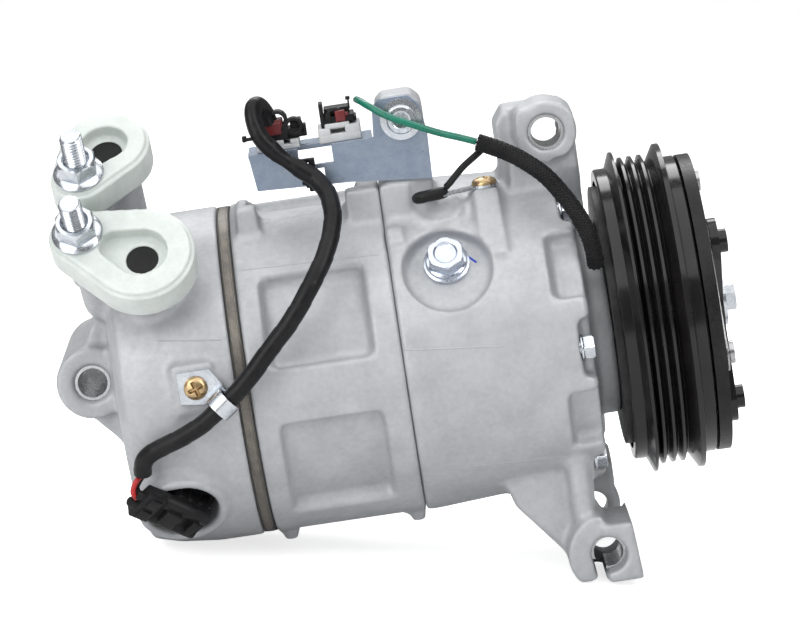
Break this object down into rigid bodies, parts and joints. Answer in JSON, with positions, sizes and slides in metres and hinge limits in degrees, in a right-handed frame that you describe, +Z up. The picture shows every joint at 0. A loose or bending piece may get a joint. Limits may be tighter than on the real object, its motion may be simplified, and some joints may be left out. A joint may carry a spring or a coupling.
{
  "type": "automotive air-conditioning compressor",
  "caption": "Belt-driven swash-plate refrigerant compressor with magnetic clutch pulley, cast housings, capped ports and mounting lugs.",
  "frame": {"origin": "on the shaft axis, in the middle plane of the belt", "axes": "+X along the shaft towards the clutch, Y along the mounting bolts, +Z up"},
  "size_m": [0.2449, 0.134, 0.1893],
  "materials": {
    "cast_aluminium": "fine sand-cast and shot-blasted",
    "gasket_rubber": "matte",
    "reed_steel": "satin",
    "valve_plate_metal": "satin",
    "zinc_plate": "bright zinc plate",
    "plug_zinc": "bluish zinc plate",
    "nylon_white": "milky, slightly translucent",
    "black_rubber": "matte",
    "bush_steel": "turned",
    "bracket_zinc": "bluish zinc plate",
    "seat_grey": "moulded",
    "connector_black": "moulded",
    "tape_black": "wound tape",
    "braid_black": "braided",
    "wire_green": "smooth",
    "wire_black": "smooth",
    "wire_red": "smooth",
    "yellow_zinc": "yellow chromate",
    "shaft_steel": "ground",
    "cast_iron": "machined",
    "piston_alloy": "coated",
    "valve_steel": "turned",
    "clutch_black": "gloss black coat",
    "armature_black": "satin black",
    "coil_black": "satin black",
    "coil_resin": "potted",
    "cage_polymer": "moulded"
  },
  "bodies": {
    "housing": {"front_housing": "cast_aluminium", "cylinder_block": "cast_aluminium", "rear_head": "cast_aluminium", "block_gasket": "gasket_rubber", "suction_reed": "reed_steel", "valve_plate": "valve_plate_metal", "discharge_reed": "reed_steel", "head_gasket": "gasket_rubber", "through_bolts": "zinc_plate", "drain_plug": "plug_zinc", "suction_cap": "nylon_white", "discharge_cap": "nylon_white", "port_plugs": "black_rubber", "port_studs": "zinc_plate", "port_nuts": "zinc_plate", "upper_lug_bush": "bush_steel", "lower_lug_bush": "bush_steel", "rear_lug_bush": "bush_steel", "connector_bracket": "bracket_zinc", "bracket_bolt": "zinc_plate", "connector_seats": "seat_grey", "lead_connector": "connector_black", "coil_connector": "connector_black", "harness": "tape_black", "valve_leads": "wire_red", "valve_connector": "connector_black", "control_valve": "valve_steel", "valve_rings": "black_rubber", "harness_clip": "zinc_plate", "clip_screw": "yellow_zinc", "ground_screw": "yellow_zinc", "ground_terminal": "zinc_plate", "ground_wire": "wire_black", "coil_sleeve": "braid_black", "coil_wire": "wire_green", "shaft_seal": "black_rubber", "front_bearing_shell": "shaft_steel", "rear_bearing_shell": "shaft_steel", "pistons": "piston_alloy", "shoes": "shaft_steel", "coil_shell": "coil_black", "coil_winding": "coil_resin", "snap_rings": "shaft_steel", "bearing_inner_race": "shaft_steel"},
    "pulley": {"pulley": "clutch_black", "bearing_outer_race": "shaft_steel"},
    "ball_set": {"bearing_balls": "shaft_steel", "ball_cage": "cage_polymer"},
    "shaft": {"shaft": "shaft_steel", "lug_plate": "cast_iron", "swash_plate": "cast_iron", "return_spring": "shaft_steel", "clutch_hub": "clutch_black", "hub_bolt": "zinc_plate", "leaf_springs": "shaft_steel"},
    "armature": {"armature_plate": "armature_black", "armature_rivets": "shaft_steel"},
    "front_needle_set": {"front_needles": "shaft_steel"},
    "rear_needle_set": {"rear_needles": "shaft_steel"},
    "thrust_needle_set": {"thrust_needles": "shaft_steel"}
  },
  "joints": [
    {"name": "pulley_spin", "type": "hinge", "parent": "housing", "child": "pulley", "pos_m": [0, 0, 0], "axis": [1, 0, 0], "continuous": true},
    {"name": "ball_set_spin", "type": "hinge", "parent": "housing", "child": "ball_set", "pos_m": [0, 0, 0], "axis": [1, 0, 0], "continuous": true},
    {"name": "shaft_spin", "type": "hinge", "parent": "housing", "child": "shaft", "pos_m": [-0.05, 0, 0], "axis": [1, 0, 0], "continuous": true},
    {"name": "armature_pull", "type": "slide", "parent": "shaft", "child": "armature", "axis": [-1, 0, 0], "range_m": [0, 0.00045], "stiffness_N_per_m": 30000},
    {"name": "front_needle_spin", "type": "hinge", "parent": "housing", "child": "front_needle_set", "pos_m": [-0.024, 0, 0], "axis": [1, 0, 0], "continuous": true},
    {"name": "rear_needle_spin", "type": "hinge", "parent": "housing", "child": "rear_needle_set", "pos_m": [-0.102, 0, 0], "axis": [1, 0, 0], "continuous": true},
    {"name": "thrust_needle_spin", "type": "hinge", "parent": "housing", "child": "thrust_needle_set", "pos_m": [-0.034, 0, 0], "axis": [1, 0, 0], "continuous": true}
  ],
  "couplings": [
    {"joint": "ball_set_spin", "follows": "pulley_spin", "ratio": 0.563},
    {"joint": "front_needle_spin", "follows": "shaft_spin", "ratio": 0.441},
    {"joint": "rear_needle_spin", "follows": "shaft_spin", "ratio": 0.441},
    {"joint": "thrust_needle_spin", "follows": "shaft_spin", "ratio": 0.5}
  ]
}
